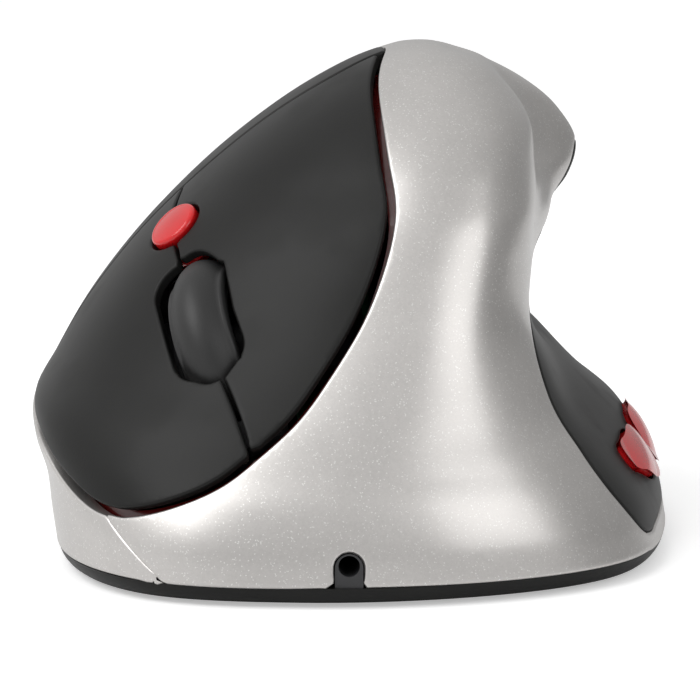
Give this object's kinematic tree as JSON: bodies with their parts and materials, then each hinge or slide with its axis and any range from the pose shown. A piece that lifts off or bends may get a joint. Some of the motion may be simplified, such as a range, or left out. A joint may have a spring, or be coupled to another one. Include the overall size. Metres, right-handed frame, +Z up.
{
  "type": "vertical ergonomic mouse",
  "caption": "Right-handed vertical mouse: sloped keys with a scroll wheel, a small oval button, side buttons on the thumb side and a cord inlet at the nose.",
  "frame": {"origin": "middle of the footprint on the table, z = 0 at the underside of the glide feet", "axes": "+Z up from the table, nose with the cord inlet towards -Y, thumb side towards +X, keys facing -X"},
  "size_m": [0.0838, 0.1032, 0.065],
  "materials": {
    "silver_paint": "metallic flake, satin clear coat",
    "satin_black": "satin",
    "gloss_red": "gloss, translucent",
    "frame_red": "satin dark red",
    "wheel_rubber": "soft matte",
    "inner_plastic": "moulded",
    "switch_body": "moulded",
    "switch_stem": "moulded",
    "board_green": "solder mask",
    "chip_black": "epoxy",
    "clear_lens": "clear",
    "steel": "zinc plated",
    "foot_glide": "smooth glide",
    "ribbon_grey": "flexible"
  },
  "bodies": {
    "housing": {"back_switch": "switch_body", "base_plate": "satin_black", "base_screw_1": "steel", "base_screw_2": "steel", "base_screw_3": "steel", "base_screw_4": "steel", "board_screw_1": "steel", "board_screw_2": "steel", "board_socket": "switch_stem", "button_board": "board_green", "button_frame": "frame_red", "cable_gland": "inner_plastic", "controller_chip": "chip_black", "dpi_switch": "switch_body", "forward_switch": "switch_body", "front_foot": "foot_glide", "front_shell": "silver_paint", "hinge_rod": "steel", "left_switch": "switch_body", "main_board": "board_green", "main_socket": "switch_stem", "middle_switch": "switch_body", "palm_rest": "satin_black", "rear_foot": "foot_glide", "rear_shell": "silver_paint", "ribbon_cable": "ribbon_grey", "right_switch": "switch_body", "sensor": "chip_black", "sensor_lamp": "clear_lens", "sensor_lens": "clear_lens", "side_board": "board_green", "side_bracket": "inner_plastic", "thumb_frame": "frame_red", "thumb_panel": "satin_black", "wheel_bracket": "inner_plastic"},
    "left_key": {"left_button": "satin_black"},
    "right_key": {"right_button": "satin_black"},
    "left_press": {"left_plunger": "switch_stem"},
    "right_press": {"right_plunger": "switch_stem"},
    "middle_press": {"middle_plunger": "switch_stem"},
    "yoke": {"wheel_yoke": "inner_plastic", "wheel_encoder": "switch_body"},
    "wheel": {"wheel_hub": "inner_plastic", "wheel_tyre": "wheel_rubber"},
    "resolution": {"dpi_button": "gloss_red", "dpi_stem": "switch_stem"},
    "forward": {"forward_button": "gloss_red", "forward_stem": "switch_stem"},
    "back": {"back_button": "gloss_red", "back_stem": "switch_stem"}
  },
  "joints": [
    {"name": "left_button_press", "type": "hinge", "parent": "housing", "child": "left_key", "pos_m": [-0.01765, -0.00512, 0.04225], "axis": [0.7441, 0.0034, 0.6681], "range_deg": [0, 0.6], "stiffness_Nm_per_rad": 1.5, "springref_deg": -0.57},
    {"name": "right_button_press", "type": "hinge", "parent": "housing", "child": "right_key", "pos_m": [-0.01765, -0.00512, 0.04225], "axis": [0.7441, 0.0034, 0.6681], "range_deg": [0, 0.6], "stiffness_Nm_per_rad": 1.5, "springref_deg": -0.57},
    {"name": "left_plunger_slide", "type": "slide", "parent": "housing", "child": "left_press", "axis": [0.425, 0.6638, -0.6154], "range_m": [0, 0.0003307]},
    {"name": "right_plunger_slide", "type": "slide", "parent": "housing", "child": "right_press", "axis": [0.425, 0.6638, -0.6154], "range_m": [0, 0.0002168]},
    {"name": "wheel_press", "type": "hinge", "parent": "housing", "child": "yoke", "pos_m": [-0.01696, -0.01477, 0.0354], "axis": [0.8961, -0.2125, 0.3896], "range_deg": [0, 0.7], "stiffness_Nm_per_rad": 3, "springref_deg": -0.57},
    {"name": "middle_plunger_slide", "type": "slide", "parent": "housing", "child": "middle_press", "axis": [0.425, 0.6638, -0.6154], "range_m": [0, 0.0003589]},
    {"name": "wheel_spin", "type": "hinge", "parent": "yoke", "child": "wheel", "pos_m": [-0.0157, -0.02427, 0.02733], "axis": [0.8961, -0.2125, 0.3896], "continuous": true},
    {"name": "resolution_press", "type": "slide", "parent": "housing", "child": "resolution", "axis": [0.425, 0.6638, -0.6154], "range_m": [0, 0.0005], "stiffness_N_per_m": 1000, "springref_m": -0.001},
    {"name": "forward_press", "type": "slide", "parent": "housing", "child": "forward", "axis": [-0.8196, 0.06, -0.5697], "range_m": [0, 0.0005], "stiffness_N_per_m": 1000, "springref_m": -0.001},
    {"name": "back_press", "type": "slide", "parent": "housing", "child": "back", "axis": [-0.8196, 0.06, -0.5697], "range_m": [0, 0.0005], "stiffness_N_per_m": 1000, "springref_m": -0.001}
  ],
  "couplings": [
    {"joint": "left_plunger_slide", "follows": "left_button_press", "m_per_rad": 0.030962},
    {"joint": "right_plunger_slide", "follows": "right_button_press", "m_per_rad": 0.020301},
    {"joint": "middle_plunger_slide", "follows": "wheel_press", "m_per_rad": 0.0288}
  ]
}
